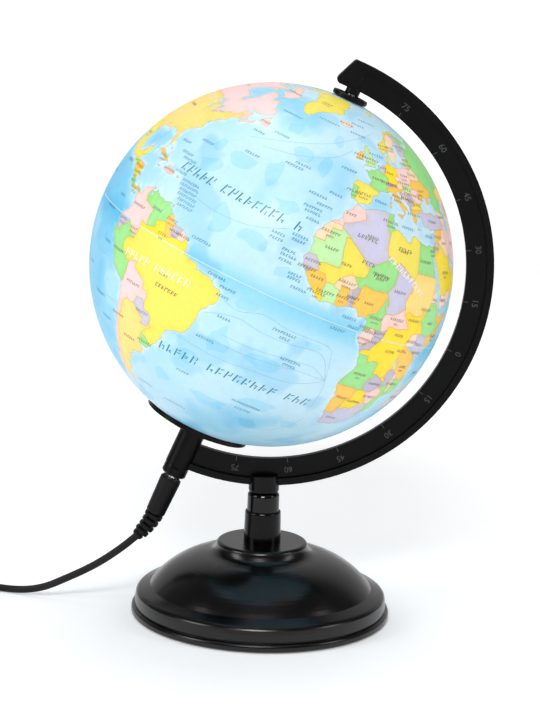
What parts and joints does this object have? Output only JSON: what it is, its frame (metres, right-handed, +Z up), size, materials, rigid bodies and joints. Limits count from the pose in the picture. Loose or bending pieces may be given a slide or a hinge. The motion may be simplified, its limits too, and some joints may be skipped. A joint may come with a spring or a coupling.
{
  "type": "desktop globe on stand",
  "caption": "Illuminated desktop globe: printed ball on a tilted axis, held by a graduated C-shaped arm on a round domed base, with its low-voltage lead and plug-in adapter.",
  "frame": {"origin": "middle of the base's underside, on the surface it stands on", "axes": "+Z up, +X towards the arm and the way the north pole leans, -Y towards the viewer of the arm's front"},
  "size_m": [0.3874, 0.2, 0.3134],
  "materials": {
    "base_gloss": "satin gloss black moulded plastic, lightly orange-peeled",
    "arm_black": "semi-matt black moulded plastic",
    "pad": "dark foam rubber pad",
    "zinc_steel": "bright zinc-plated steel",
    "ballast": "raw pressed steel disc",
    "ball_print": "printed plastic with a clear gloss coat",
    "ball_ring": "natural white moulded plastic",
    "lamp_white": "white moulded plastic",
    "led_board": "white solder-masked board",
    "led_die": "clear encapsulated LED packages",
    "wire": "PVC wire insulation",
    "nickel": "bright nickel plate",
    "plug_pvc": "soft black overmoulded PVC",
    "lead_pvc": "black PVC twin lead",
    "adapter_case": "finely textured black plastic",
    "adapter_pcb": "green circuit board with its parts"
  },
  "bodies": {
    "stand": {"base_shell": "base_gloss", "stem_sleeve": "base_gloss", "stem_collar": "base_gloss", "stem_saddle": "base_gloss", "meridian_arm": "arm_black", "thrust_washer": "arm_black", "jack_nut": "arm_black", "dc_jack": "arm_black", "base_plate": "arm_black", "base_pad": "pad", "base_screws": "zinc_steel", "stem_bolt": "zinc_steel", "stem_washer": "zinc_steel", "stem_nut": "zinc_steel", "arm_screw": "zinc_steel", "pole_pin": "zinc_steel", "base_weight": "ballast", "lamp_tube": "lamp_white", "lamp_holder": "lamp_white", "lamp_diffuser": "lamp_white", "led_board": "led_board", "leds": "led_die", "lamp_wires": "wire", "plug_barrel": "nickel", "adapter_pins": "nickel", "plug_body": "plug_pvc", "plug_relief": "plug_pvc", "adapter_relief": "plug_pvc", "cord_run": "lead_pvc", "cord_coil": "lead_pvc", "cord_tail": "lead_pvc", "cord_tie": "lead_pvc", "adapter_back": "adapter_case", "adapter_front": "adapter_case", "adapter_board": "adapter_pcb"},
    "globe": {"globe_north": "ball_print", "globe_south": "ball_print", "equator_ring": "ball_ring", "pole_bush": "arm_black", "south_cover": "arm_black"}
  },
  "joints": [
    {"name": "globe_spin", "type": "hinge", "parent": "stand", "child": "globe", "pos_m": [0, 0, 0.1996], "axis": [0.3907, 0, 0.9205], "continuous": true}
  ]
}
